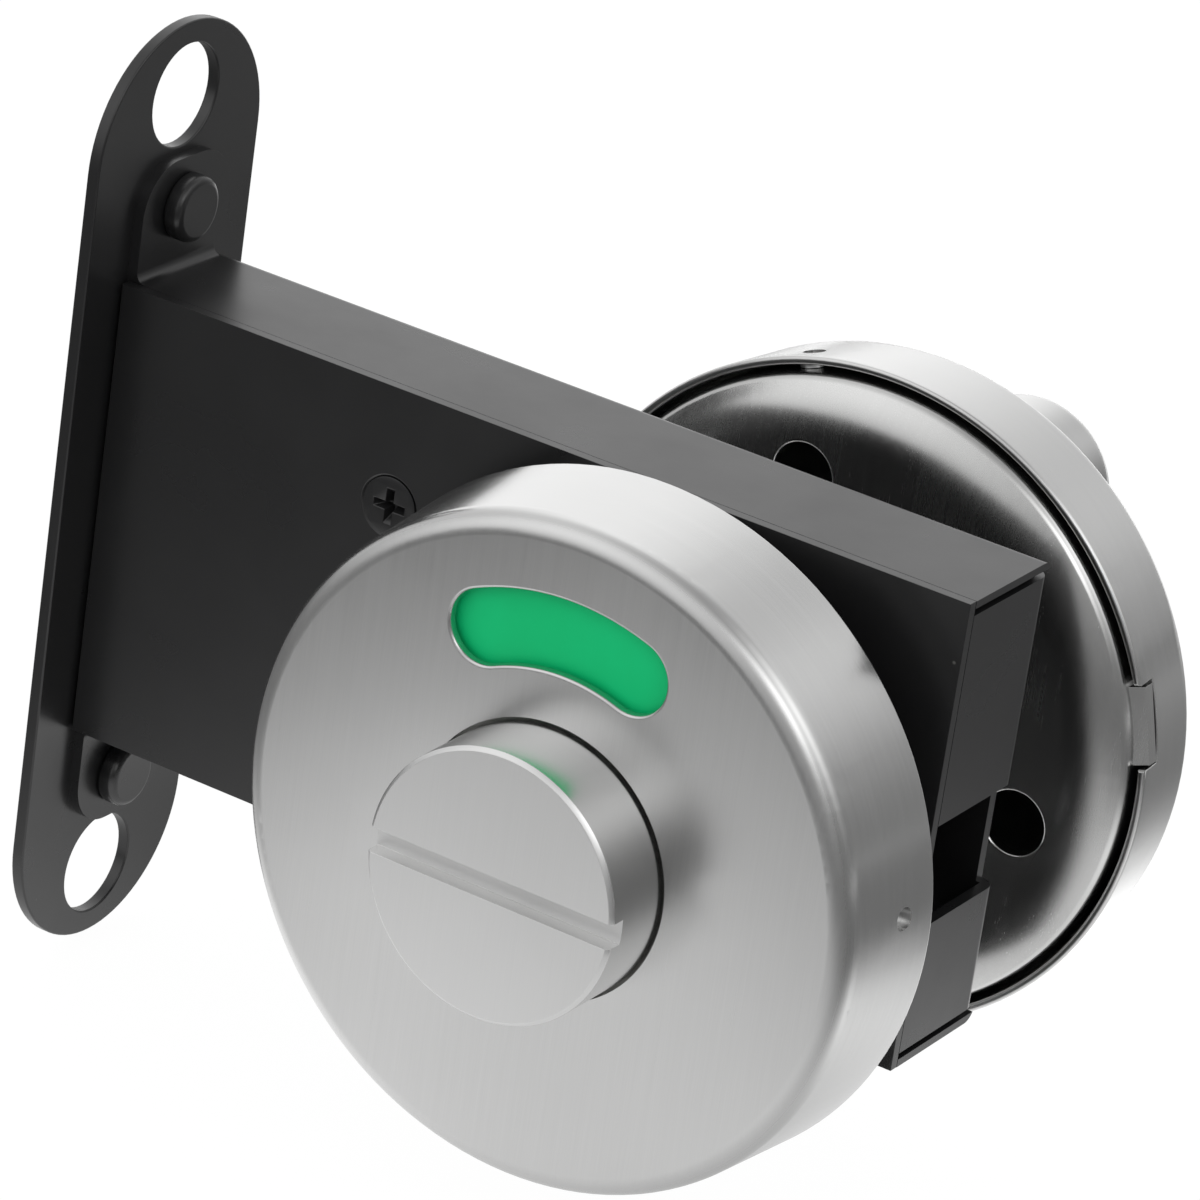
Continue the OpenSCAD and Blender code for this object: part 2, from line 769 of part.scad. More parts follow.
module vacant_field() {
    color([0.05, 0.62, 0.36]) colour_field(90);
}

module engaged_field() {
    color([0.78, 0.07, 0.06]) colour_field(90 - throw_angle);
}

// Open ring in the groove of a shank, with two eyes at its gap
module circlip() {
    eye_r = clip_w / 2;
    eye_at = clip_r + eye_r + clip_eye_out;
    translate([0, 0, -clip_gap - clip_t]) linear_extrude(clip_t) difference() {
        union() {
            difference() {
                circle(clip_r + clip_w);
                circle(clip_r);
                wedge(clip_gap_half, 3 * shank_r);
            }
            for (side = [-1, 1]) rotate(side * clip_gap_half) translate([eye_at, 0]) circle(eye_r);
        }
        for (side = [-1, 1]) rotate(side * clip_gap_half) translate([eye_at, 0]) circle(eye_r / 2);
        circle(clip_r);
    }
}

module outside_circlip() {
    color([0.4, 0.41, 0.43]) on_outside() circlip();
}

module inside_circlip() {
    color([0.4, 0.41, 0.43]) on_inside() circlip();
}

// Grip of the thumb turn: a bar with round ends and rounded edges, from z = 0 up
module turn_grip(height) {
    end_at = grip_l / 2 - grip_w / 2;
    rotate([90, 0, 0]) linear_extrude(2 * end_at, center = true) {
        bar_section(grip_w / 2, height, grip_edge_r);
        mirror([1, 0]) bar_section(grip_w / 2, height, grip_edge_r);
    }
    for (side = [-1, 1]) translate([0, side * end_at, 0]) {
        rotate_extrude() bar_section(grip_w / 2, height, grip_edge_r);
    }
}

module thumb_turn() {
    neck_z = inside_face + turn_gap;
    grip_z = inside_face + turn_neck_h;
    color([0.74, 0.74, 0.74]) on_inside() difference() {
        union() {
            grooved_shank(grip_z + 1);
            translate([0, 0, neck_z]) cylinder(r = turn_neck_r, h = turn_neck_h - turn_gap + 1);
            translate([0, 0, grip_z]) turn_grip(turn_proud - turn_neck_h);
        }
        spindle_socket(spindle_in);
    }
}

module spindle() {
    length = spindle_out + door_gap + spindle_in;
    color([0.62, 0.63, 0.65]) translate([backset, outside_y - spindle_out, -spindle_drop]) {
        translate([-spindle_sq / 2, 0, -spindle_sq / 2]) cube([spindle_sq, length, spindle_sq]);
    }
}

// Hub with two flats for the detent, an arm with a round nose, and a collar each side
module follower() {
    color([0.60, 0.56, 0.45]) on_spindle() difference() {
        union() {
            linear_extrude(2 * in_y - 4 * seat, center = true) intersection() {
                circle(hub_r);
                translate([-hub_flat, -hub_flat]) square(2 * hub_flat + 4);
            }
            rotate(90 - half_throw) linear_extrude(arm_w, center = true) {
                translate([0, -web_t / 2]) square([arm_r, web_t]);
                translate([arm_r, 0]) circle(nose_r);
            }
            cylinder(r = collar_r, h = case_t - 2 * seat, center = true);
        }
        cube([socket_side, socket_side, 2 * case_t], center = true);
    }
}

// Bolt with a full-height head, a guide slot for the stump and a fork at its tail
module deadbolt() {
    z = bolt_top_z;
    color([0.78, 0.77, 0.74]) across_y(bolt_t) difference() {
        polygon([[0, -z + bolt_chamfer], [bolt_chamfer, -z], [bolt_head_l, -z], [bolt_head_l, tail_z],
            [tail_x1, tail_z], [tail_x1, z], [bolt_chamfer, z], [0, z - bolt_chamfer]]);
        translate([nose_x - fork_half, tail_z - 1]) square([2 * fork_half, fork_top_z - tail_z + 1]);
        translate([stump_x, -slot_half]) square([throw, 2 * slot_half]);
        for (end = [0, throw]) translate([stump_x + end, 0]) circle(slot_half);
    }
}

forend_plate();
case_body();
case_cover();
cover_screws();
cover_pillars();
forend_rivets();
guide_stump();
detent_spring();
outside_shell();
outside_base_plate();
outside_bush();
inside_shell();
inside_base_plate();
inside_bush();
follower();
spindle();
coin_button();
indicator_disc();
vacant_field();
engaged_field();
outside_circlip();
inside_circlip();
thumb_turn();
deadbolt();
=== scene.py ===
# Looks of the toilet indicator bolt: finishes, rounded edges, cover screws, studio and camera
import json
import math

import bmesh
import bpy
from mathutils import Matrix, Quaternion, Vector

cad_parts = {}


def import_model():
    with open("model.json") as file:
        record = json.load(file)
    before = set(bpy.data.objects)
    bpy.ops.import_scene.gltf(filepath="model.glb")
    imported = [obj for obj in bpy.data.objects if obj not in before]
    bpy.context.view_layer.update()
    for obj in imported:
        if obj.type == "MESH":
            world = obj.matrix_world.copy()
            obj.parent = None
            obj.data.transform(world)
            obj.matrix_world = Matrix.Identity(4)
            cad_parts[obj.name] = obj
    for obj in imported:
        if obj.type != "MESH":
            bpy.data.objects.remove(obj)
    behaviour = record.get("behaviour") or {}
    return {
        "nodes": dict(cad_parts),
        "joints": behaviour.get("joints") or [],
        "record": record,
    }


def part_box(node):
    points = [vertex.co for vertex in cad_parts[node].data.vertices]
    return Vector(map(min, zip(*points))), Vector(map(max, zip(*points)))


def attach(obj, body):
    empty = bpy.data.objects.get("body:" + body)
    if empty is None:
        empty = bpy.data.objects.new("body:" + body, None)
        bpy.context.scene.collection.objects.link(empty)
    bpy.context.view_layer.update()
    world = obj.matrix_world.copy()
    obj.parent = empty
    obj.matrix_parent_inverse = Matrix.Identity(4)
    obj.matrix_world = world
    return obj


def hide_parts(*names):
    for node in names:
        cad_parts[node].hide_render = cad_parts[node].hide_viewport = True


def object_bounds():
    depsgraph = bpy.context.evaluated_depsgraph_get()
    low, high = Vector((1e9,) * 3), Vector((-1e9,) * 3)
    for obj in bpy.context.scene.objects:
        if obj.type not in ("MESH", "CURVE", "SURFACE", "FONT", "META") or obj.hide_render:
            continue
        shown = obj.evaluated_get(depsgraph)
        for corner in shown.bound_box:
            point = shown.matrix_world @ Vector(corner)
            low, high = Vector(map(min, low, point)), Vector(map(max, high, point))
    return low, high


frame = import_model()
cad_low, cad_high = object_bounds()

MM = 0.001

# The frame's bodies and material slots by node, and the spindle's place in metres
RECORD = frame["record"]
BODY_OF = {node: body for body, nodes in RECORD["behaviour"]["bodies"].items() for node in nodes}
SLOT_OF = {row["node"]: row["material_slot"] for row in RECORD["subparts"]}
SPINDLE = Vector(next(joint["pos_m"] for joint in frame["joints"] if joint["name"] == "spindle_turn"))


# Shader node helpers

def feed(tree, socket, source):
    """Links a socket to another one, or sets it to a plain number."""
    if isinstance(source, bpy.types.NodeSocket):
        tree.links.new(source, socket)
    else:
        socket.default_value = source


def add(tree, kind, values=None, links=None, **settings):
    """A new node with its settings, socket values and incoming links."""
    made = tree.nodes.new(kind)
    for name, value in settings.items():
        setattr(made, name, value)
    for name, value in (values or {}).items():
        made.inputs[name].default_value = value
    for name, source in (links or {}).items():
        tree.links.new(source, made.inputs[name])
    return made


def maths(tree, operation, first, second=0.0, clamp=False):
    """The result of one Math node, whose inputs are sockets or plain numbers."""
    made = add(tree, "ShaderNodeMath", operation=operation, use_clamp=clamp)
    feed(tree, made.inputs[0], first)
    feed(tree, made.inputs[1], second)
    return made.outputs[0]


def spread(tree, source, low, high, from_low=0.0, from_high=1.0, smooth=False):
    """A value moved from one range to another."""
    kind = "SMOOTHSTEP" if smooth else "LINEAR"
    made = add(tree, "ShaderNodeMapRange", {1: from_low, 2: from_high, 3: low, 4: high}, {0: source},
               interpolation_type=kind)
    return made.outputs[0]


def blend(tree, share, first, second):
    """A value between two others."""
    made = add(tree, "ShaderNodeMix", data_type="FLOAT")
    for socket, source in zip(made.inputs[:1] + made.inputs[2:4], (share, first, second)):
        feed(tree, socket, source)
    return made.outputs[0]


def tint(tree, share, first, second):
    """A colour between two plain ones, by a value."""
    made = add(tree, "ShaderNodeMix", data_type="RGBA")
    made.inputs[6].default_value = (*first, 1)
    made.inputs[7].default_value = (*second, 1)
    tree.links.new(share, made.inputs[0])
    return made.outputs[2]


# Shader groups that the finishes use

def new_group(name, inputs, outputs):
    """An empty shader group with its sockets, and its two ends."""
    group = bpy.data.node_groups.new(name, "ShaderNodeTree")
    for socket, kind, value in inputs:
        made = group.interface.new_socket(socket, in_out="INPUT", socket_type=kind)
        if value is not None:
            made.default_value = value
    for socket in outputs:
        group.interface.new_socket(socket, in_out="OUTPUT", socket_type="NodeSocketFloat")
    return group, group.nodes.new("NodeGroupInput"), group.nodes.new("NodeGroupOutput")


def brushing_group():
    """Fine parallel grain: noise that is drawn out along one direction by its scale."""
    group, start, end = new_group("brushing", [("Vector", "NodeSocketVector", None),
                                               ("Scale", "NodeSocketVector", (1.0, 1.0, 1.0))],
                                  ["Grain", "Bands"])
    scaled = add(group, "ShaderNodeVectorMath", operation="MULTIPLY",
                 links={0: start.outputs["Vector"], 1: start.outputs["Scale"]})
    fine = add(group, "ShaderNodeTexNoise", {"Scale": 1.0, "Detail": 3.0, "Roughness": 0.6},
               {"Vector": scaled.outputs[0]})
    broad = add(group, "ShaderNodeTexNoise", {"Scale": 0.12, "Detail": 2.0, "Roughness": 0.5},
                {"Vector": scaled.outputs[0]})
    group.links.new(fine.outputs["Fac"], end.inputs["Grain"])
    group.links.new(broad.outputs["Fac"], end.inputs["Bands"])
    return group


def smudges_group():
    """Cloudy patches, as handling and plating leave them."""
    group, start, end = new_group("smudges", [("Vector", "NodeSocketVector", None),
                                              ("Size", "NodeSocketFloat", 0.02)], ["Mask"])
    scale = maths(group, "DIVIDE", 1.0, start.outputs["Size"])
    cloud = add(group, "ShaderNodeTexNoise", {"Detail": 4.0, "Roughness": 0.55},
                {"Vector": start.outputs["Vector"], "Scale": scale})
    group.links.new(spread(group, cloud.outputs["Fac"], 0, 1, 0.35, 0.7, True), end.inputs["Mask"])
    return group


def specks_group():
    """Scattered dust grains."""
    group, start, end = new_group("specks", [("Vector", "NodeSocketVector", None),
                                             ("Spacing", "NodeSocketFloat", 0.004),
                                             ("Share", "NodeSocketFloat", 0.05)], ["Mask"])
    scale = maths(group, "DIVIDE", 1.0, start.outputs["Spacing"])
    cells = add(group, "ShaderNodeTexVoronoi", links={"Vector": start.outputs["Vector"], "Scale": scale})
    chance = add(group, "ShaderNodeSeparateColor", links={"Color": cells.outputs["Color"]})
    dot = spread(group, cells.outputs["Distance"], 1, 0, 0.02, 0.05, True)
    dusty = maths(group, "LESS_THAN", chance.outputs[0], start.outputs["Share"])
    group.links.new(maths(group, "MULTIPLY", dot, dusty), end.inputs["Mask"])
    return group


BRUSHING = brushing_group()
SMUDGES = smudges_group()
SPECKS = specks_group()


def use(tree, group, values=None, links=None):
    """A group placed in a material."""
    return add(tree, "ShaderNodeGroup", values, links, node_tree=group)


# Materials

# Brushed grain: width, length and depth in millimetres, and the shares of fine grain and of broad bands
GRAIN_ACROSS, GRAIN_ALONG, GRAIN_DEPTH = 0.07, 9.0, 0.02
GRAIN_SHARE, BANDS_SHARE = 0.7, 0.3
# Range that the grain's noise mostly keeps to
NOISE_LOW, NOISE_HIGH = 0.3, 0.7
# How much the roughness changes with the grain, and with the patches on steel, plating and plastic
GRAIN_CHANGE, STEEL_CHANGE, PLATING_CHANGE, PLASTIC_CHANGE = 0.03, 0.04, 0.025, 0.05
# How far a surface faces along the spindle on walls and on faces
WALL_BELOW, FACE_ABOVE = 0.55, 0.85
# Orange peel of the paint: size and depth in millimetres, and strength; the paint's sheen
PEEL_SIZE, PEEL_DEPTH, PEEL_RELIEF = 0.9, 0.02, 0.12
PAINT_SHEEN = 0.58
# Spacing of the cells that may hold a dust grain, in metres, and the share that does
DUST_SPACING, DUST_SHARE = 0.0042, 0.09
# Fine surface of plated and of moulded pieces: size and depth in millimetres, and strength
PLATING_SIZE, MOULDING_SIZE, FINE_DEPTH = 0.12, 0.25, 0.01
PLATING_RELIEF, MOULDING_RELIEF = 0.12, 0.08
# Size of the cloudy patches on each kind of surface, in metres
STEEL_CLOUD, PAINT_CLOUD, PLATING_CLOUD, BOLT_CLOUD, PLASTIC_CLOUD = 0.016, 0.012, 0.003, 0.006, 0.008


def new_material(name, **sockets):
    """A material with its shader, and its coordinates centred on the spindle."""
    material = bpy.data.materials.new(name)
    material.use_nodes = True
    tree = material.node_tree
    shader = tree.nodes["Principled BSDF"]
    for socket, value in sockets.items():
        shader.inputs[socket.replace("_", " ")].default_value = value
    place = add(tree, "ShaderNodeTexCoord")
    centred = add(tree, "ShaderNodeMapping", {"Location": -SPINDLE}, {"Vector": place.outputs["Object"]})
    return material, tree, shader, centred.outputs[0]


def facing_outwards(tree):
    """1 where a surface faces along the spindle, 0 on the walls round it."""
    normal = add(tree, "ShaderNodeNewGeometry").outputs["Normal"]
    parts = add(tree, "ShaderNodeSeparateXYZ", links={0: normal})
    return spread(tree, maths(tree, "ABSOLUTE", parts.outputs["Y"]), 0, 1, WALL_BELOW, FACE_ABOVE, True)


def bumped(tree, shader, height, strength, distance):
    """Relief from a height, in metres."""
    relief = add(tree, "ShaderNodeBump", {"Strength": strength, "Distance": distance}, {"Height": height})
    tree.links.new(relief.outputs["Normal"], shader.inputs["Normal"])


def clouded(tree, shader, place, size, dark, light, roughness, change):
    """Tone and roughness that change in cloudy patches."""
    cloud = use(tree, SMUDGES, {"Size": size}, {"Vector": place}).outputs["Mask"]
    tree.links.new(tint(tree, cloud, dark, light), shader.inputs["Base Color"])
    tree.links.new(spread(tree, cloud, roughness - change, roughness + change), shader.inputs["Roughness"])


def brushed_steel(name, dark, light, face_rough, wall_rough, relief):
    """Steel with a straight grain on its faces and a turned grain on its walls."""
    material, tree, shader, place = new_material(name, Metallic=1.0)
    across, along = 1 / (GRAIN_ACROSS * MM), 1 / (GRAIN_ALONG * MM)
    face = use(tree, BRUSHING, {"Scale": (across, across, along)}, {"Vector": place})
    wall = use(tree, BRUSHING, {"Scale": (along, across, along)}, {"Vector": place})
    outwards = facing_outwards(tree)
    grain = blend(tree, outwards, wall.outputs["Grain"], face.outputs["Grain"])
    bands = blend(tree, outwards, wall.outputs["Bands"], face.outputs["Bands"])
    cloud = use(tree, SMUDGES, {"Size": STEEL_CLOUD}, {"Vector": place}).outputs["Mask"]
    mixed = maths(tree, "ADD", maths(tree, "MULTIPLY", grain, GRAIN_SHARE),
                  maths(tree, "MULTIPLY", bands, BANDS_SHARE))
    tone = spread(tree, mixed, 0, 1, NOISE_LOW, NOISE_HIGH)
    tree.links.new(tint(tree, tone, dark, light), shader.inputs["Base Color"])
    level = blend(tree, outwards, wall_rough, face_rough)
    uneven = maths(tree, "ADD", spread(tree, mixed, -GRAIN_CHANGE, GRAIN_CHANGE, NOISE_LOW, NOISE_HIGH),
                   maths(tree, "MULTIPLY", cloud, STEEL_CHANGE))
    tree.links.new(maths(tree, "ADD", level, uneven), shader.inputs["Roughness"])
    bumped(tree, shader, grain, relief, GRAIN_DEPTH * MM)
    return material


def painted_steel(name, colour, dust, rough_low, rough_high):
    """Satin paint with a faint orange peel and dust grains."""
    material, tree, shader, place = new_material(name, Specular_IOR_Level=PAINT_SHEEN)
    peel = add(tree, "ShaderNodeTexNoise", {"Scale": 1 / (PEEL_SIZE * MM), "Detail": 2.0}, {"Vector": place})
    cloud = use(tree, SMUDGES, {"Size": PAINT_CLOUD}, {"Vector": place}).outputs["Mask"]
    grains = use(tree, SPECKS, {"Spacing": DUST_SPACING, "Share": DUST_SHARE}, {"Vector": place})
    tree.links.new(tint(tree, grains.outputs["Mask"], colour, dust), shader.inputs["Base Color"])
    tree.links.new(spread(tree, cloud, rough_low, rough_high), shader.inputs["Roughness"])
    bumped(tree, shader, peel.outputs["Fac"], PEEL_RELIEF, PEEL_DEPTH * MM)
    return material


def plated_steel(name, dark, light, roughness, cloud_size=PLATING_CLOUD):
    """Plated, blued or passivated steel with a cloudy tone."""
    material, tree, shader, place = new_material(name, Metallic=1.0)
    clouded(tree, shader, place, cloud_size, dark, light, roughness, PLATING_CHANGE)
    grain = add(tree, "ShaderNodeTexNoise", {"Scale": 1 / (PLATING_SIZE * MM), "Detail": 2.0},
                {"Vector": place})
    bumped(tree, shader, grain.outputs["Fac"], PLATING_RELIEF, FINE_DEPTH * MM)
    return material


def moulded_plastic(name, dark, light, roughness, shine=0.5):
    """Plastic with a fine moulded surface."""
    material, tree, shader, place = new_material(name, Specular_IOR_Level=shine)
    clouded(tree, shader, place, PLASTIC_CLOUD, dark, light, roughness, PLASTIC_CHANGE)
    grain = add(tree, "ShaderNodeTexNoise", {"Scale": 1 / (MOULDING_SIZE * MM), "Detail": 3.0},
                {"Vector": place})
    bumped(tree, shader, grain.outputs["Fac"], MOULDING_RELIEF, FINE_DEPTH * MM)
    return material


FINISH = {
    "black_paint": painted_steel("black_paint_satin", (0.011, 0.011, 0.0115), (0.09, 0.09, 0.085),
                                 0.27, 0.34),
    "rose_steel": brushed_steel("rose_steel_brushed", (0.57, 0.57, 0.567), (0.61, 0.61, 0.607),
                                0.3, 0.2, 0.13),
    "base_plate_steel": brushed_steel("base_plate_steel_bright", (0.56, 0.56, 0.555), (0.62, 0.62, 0.615),
                                      0.24, 0.19, 0.03),
    "zinc_steel": plated_steel("zinc_plate", (0.45, 0.46, 0.48), (0.56, 0.56, 0.56), 0.32),
    "spring_steel": plated_steel("spring_steel_blued", (0.16, 0.19, 0.25), (0.28, 0.28, 0.3), 0.28),
    "clip_steel": plated_steel("clip_steel_phosphated", (0.05, 0.05, 0.052), (0.09, 0.088, 0.085), 0.45),
    "follower_steel": plated_steel("follower_steel_passivated", (0.3, 0.25, 0.14), (0.4, 0.36, 0.24), 0.4),
    "bolt_steel": plated_steel("bolt_steel_nickel", (0.55, 0.53, 0.49), (0.6, 0.58, 0.54), 0.27, BOLT_CLOUD),
    "bush_plastic": moulded_plastic("bush_acetal", (0.66, 0.64, 0.56), (0.74, 0.72, 0.65), 0.45),
    "disc_plastic": moulded_plastic("disc_plastic_moulded", (0.62, 0.62, 0.59), (0.7, 0.7, 0.68), 0.5),
    "vacant_green": moulded_plastic("vacant_green_film", (0.004, 0.58, 0.195), (0.005, 0.62, 0.215),
                                    0.45, 0.15),
    "engaged_red": moulded_plastic("engaged_red_film", (0.66, 0.008, 0.007), (0.72, 0.010, 0.009),
                                   0.45, 0.15),
}

# Pieces whose finish differs from the rest of their slot
OWN_FINISH = {
    "coin_button": brushed_steel("coin_button_satin", (0.7, 0.7, 0.697), (0.74, 0.74, 0.737),
                                 0.48, 0.2, 0.15),
}


# Pieces with rounded edges

# Angles in degrees from which an edge is rounded, and from which one that is left stays sharp
ROUNDED_FROM, SHARP_FROM = 28, 40
# Distance in millimetres within which a CAD mesh's points are one, and angle in degrees for its faces
SAME_POINT, SAME_PLANE = 0.002, 0.2


def sharp_edges(bm, least=ROUNDED_FROM):
    """Edges whose two faces meet at more than an angle in degrees."""
    return [e for e in bm.edges if len(e.link_faces) == 2 and e.calc_face_angle() > math.radians(least)]


def round_off(bm, edges, radius, segments=3):
    """Rounds edges to a radius in millimetres, smaller where there is no room."""
    bmesh.ops.bevel(bm, geom=edges, offset=radius * MM, offset_type="OFFSET", affect="EDGES",
                    segments=segments, profile=0.5, material=-1, clamp_overlap=True, loop_slide=True)


def piece_from(bm, name):
    """A smooth-shaded object from a bmesh, with flat faces kept flat and unrounded edges kept sharp."""
    for face in bm.faces:
        face.smooth = True
    kept = set(sharp_edges(bm, SHARP_FROM))
    for edge in bm.edges:
        edge.smooth = edge not in kept
    mesh = bpy.data.meshes.new(name)
    bm.to_mesh(mesh)
    bm.free()
    if "custom_normal" in mesh.attributes:
        mesh.attributes.remove(mesh.attributes["custom_normal"])
    piece = bpy.data.objects.new(name, mesh)
    bpy.context.scene.collection.objects.link(piece)
    weighted = piece.modifiers.new("flat_faces", "WEIGHTED_NORMAL")
    weighted.weight = 100
    weighted.keep_sharp = True
    return piece


def settle(piece, node):
    """Puts a new piece in a CAD node's place: its body, its finish and its slot."""
    slot = SLOT_OF[node]
    piece.data.materials.clear()
    piece.data.materials.append(OWN_FINISH.get(node, FINISH[slot]))
    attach(piece, BODY_OF[node])
    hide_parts(node)


def rounded(node, edge, *softer, shown=None):
    """A CAD node's copy with its edges rounded: picked ones by their own radius, then all or those shown."""
    bm = bmesh.new()
    bm.from_mesh(frame["nodes"][node].data)
    bmesh.ops.remove_doubles(bm, verts=bm.verts, dist=SAME_POINT * MM)
    bmesh.ops.dissolve_limit(bm, angle_limit=math.radians(SAME_PLANE), verts=bm.verts, edges=bm.edges)
    for picker, radius in softer:
        round_off(bm, [e for e in sharp_edges(bm) if picker(e)], radius, 4)
    round_off(bm, [e for e in sharp_edges(bm) if not shown or shown(e)], edge)
    settle(piece_from(bm, node + "_finished"), node)


# Edge radius of each plainly rounded piece, in millimetres
EDGES = {
    "forend_plate": 0.35, "case_cover": 0.22, "forend_rivets": 0.45,
    "coin_button": 0.04, "thumb_turn": 0.2, "deadbolt": 0.25, "follower": 0.15, "spindle": 0.2,
    "outside_bush": 0.12, "inside_bush": 0.12, "outside_circlip": 0.08, "inside_circlip": 0.08,
    "indicator_disc": 0.15,
}
for node, edge in EDGES.items():
    rounded(node, edge)


# Case body: its edges and those of its ears' front, in millimetres
CASE_EDGE, EAR_EDGE = 0.2, 0.9
# Room between the ears' front and the cover and forend, in millimetres
EAR_ABOVE_COVER, EAR_BEYOND_FOREND = 0.1, 0.5


def on_ear_front(edge):
    """Edges round the front of the two ears, which the press leaves softer."""
    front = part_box("forend_plate")[1].x + EAR_BEYOND_FOREND * MM
    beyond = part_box("case_cover")[1].z + EAR_ABOVE_COVER * MM
    return all(abs(v.co.z) > beyond and v.co.x > front for v in edge.verts)


rounded("case_body", CASE_EDGE, (on_ear_front, EAR_EDGE))


# Roses, in millimetres: shell edges in general, round the window and on the rim
SHELL_EDGE, WINDOW_EDGE, RIM_EDGE = 0.12, 0.3, 0.36
# A shell's edges round the window lie outside WINDOW_R. The edges of its wall lie within WALL_PART of its
# outer radius and are longer than WALL_EDGE_LENGTH. The shorter ones, round the dimples, are left as they are
WINDOW_R, WALL_PART, WALL_EDGE_LENGTH = 13, 0.7, 0.8
# Base plate edges in general, round the screw holes and at the end of the shoulder
PLATE_EDGE, HOLE_EDGE, SHOULDER_EDGE = 0.15, 0.28, 0.6
# The shoulder's drop, and the radius outside which the screw holes lie
SHOULDER_DROP, BUSH_R = 1.8, 10
# Distance within which a point lies in a plane
IN_PLANE = 0.02


def from_axis(vert):
    """Distance of a vertex from the spindle's axis."""
    return math.hypot(vert.co.x - SPINDLE.x, vert.co.z - SPINDLE.z)


def in_plane(y):
    """Picks edges in a plane square to the spindle."""
    return lambda edge: all(abs(v.co.y - y) < IN_PLANE * MM for v in edge.verts)


def shell(node, face, rim):
    """A rose's shell: a bright cut edge round its window, a rounded rim and small edges on its wall."""
    low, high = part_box(node)
    outer = (high.x - low.x) / 2 - WALL_PART * MM
    on_face, on_rim = in_plane(face), in_plane(rim)

    def on_window(edge):
        return on_face(edge) and from_axis(edge.verts[0]) > WINDOW_R * MM

    def on_wall(edge):
        return edge.calc_length() > WALL_EDGE_LENGTH * MM and all(from_axis(v) > outer for v in edge.verts)

    rounded(node, SHELL_EDGE, (on_window, WINDOW_EDGE), (on_rim, RIM_EDGE),
            shown=lambda edge: on_face(edge) or on_wall(edge))


def base_plate(node, flat, inwards):
    """A base plate: soft edges round its screw holes and on its shoulder."""
    on_flat, on_shoulder = in_plane(flat), in_plane(flat + inwards * SHOULDER_DROP * MM)

    def on_hole(edge):
        return on_flat(edge) and from_axis(edge.verts[0]) > BUSH_R * MM

    rounded(node, PLATE_EDGE, (on_hole, HOLE_EDGE), (on_shoulder, SHOULDER_EDGE))


shell("outside_shell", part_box("outside_shell")[0].y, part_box("outside_shell")[1].y)
shell("inside_shell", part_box("inside_shell")[1].y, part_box("inside_shell")[0].y)
base_plate("outside_base_plate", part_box("outside_base_plate")[1].y, -1)
base_plate("inside_base_plate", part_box("inside_base_plate")[0].y, 1)


# Cover screws with a cross recess: sizes in millimetres, sides of the round, and as CROSS_TAPER the share of
# the recess's size that is left at its end
SCREW_HEAD_R = 2.62
SCREW_HEAD_LIP = 0.15
SCREW_HEAD_H = 1.0
SCREW_SHANK_R = 1.5
SCREW_EDGE = 0.08
SCREW_SIDES = 48
CROSS_ARM = 1.6
CROSS_W = 0.75
CROSS_DEPTH = 1.3
CROSS_TAPER = 0.45
COUNTERSINK_R = 2.8


def screw(bm, place, length):
    """One countersunk screw along +Y, with its head's face at place."""
    ring = bmesh.ops.create_circle(bm, segments=SCREW_SIDES, radius=SCREW_HEAD_R * MM)["verts"]
    corners = [(CROSS_ARM, -CROSS_W / 2), (CROSS_ARM, CROSS_W / 2), (CROSS_W / 2, CROSS_W / 2)]
    points = []
    for quarter in range(4):
        turn = Quaternion((0, 0, 1), quarter * math.pi / 2)
        points += [turn @ Vector((x, y, 0)) * MM for x, y in corners]
    cross = [bm.verts.new(point) for point in points]
    cross_edges = [bm.edges.new((a, b)) for a, b in zip(cross, cross[1:] + cross[:1])]
    rim_edges = list({edge for vert in ring for edge in vert.link_edges})
    bmesh.ops.triangle_fill(bm, edges=cross_edges + rim_edges, use_beauty=True)
    made = list(ring) + cross
    recess = bmesh.ops.extrude_edge_only(bm, edges=cross_edges)["geom"]
    recess_verts = [g for g in recess if isinstance(g, bmesh.types.BMVert)]
    bmesh.ops.scale(bm, verts=recess_verts, vec=(CROSS_TAPER, CROSS_TAPER, 1))
    bmesh.ops.translate(bm, verts=recess_verts, vec=(0, 0, -CROSS_DEPTH * MM))
    bmesh.ops.contextual_create(bm, geom=[g for g in recess if isinstance(g, bmesh.types.BMEdge)])
    made += recess_verts
    for radius, drop in ((SCREW_HEAD_R, SCREW_HEAD_LIP), (SCREW_SHANK_R, SCREW_HEAD_H - SCREW_HEAD_LIP),
                         (SCREW_SHANK_R, length / MM - SCREW_HEAD_H)):
        grown = bmesh.ops.extrude_edge_only(bm, edges=rim_edges)["geom"]
        rim_edges = [g for g in grown if isinstance(g, bmesh.types.BMEdge)]
        rim = [g for g in grown if isinstance(g, bmesh.types.BMVert)]
        now = rim[0].co.xy.length
        bmesh.ops.scale(bm, verts=rim, vec=(radius * MM / now, radius * MM / now, 1))
        bmesh.ops.translate(bm, verts=rim, vec=(0, 0, -drop * MM))
        made += rim
    bmesh.ops.contextual_create(bm, geom=rim_edges)
    along_y = Quaternion((1, 0, 0), math.pi / 2).to_matrix()
    bmesh.ops.rotate(bm, verts=made, cent=(0, 0, 0), matrix=along_y)
    bmesh.ops.translate(bm, verts=made, vec=place)


def cover_screws():
    """Both cover screws, in opposite corners of their CAD node's box."""
    low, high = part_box("cover_screws")
    inset = COUNTERSINK_R * MM
    bm = bmesh.new()
    for place in ((low.x + inset, low.y, high.z - inset), (high.x - inset, low.y, low.z + inset)):
        screw(bm, Vector(place), high.y - low.y)
    bmesh.ops.recalc_face_normals(bm, faces=bm.faces)
    round_off(bm, sharp_edges(bm), SCREW_EDGE, 2)
    settle(piece_from(bm, "cover_screws_cross"), "cover_screws")


cover_screws()

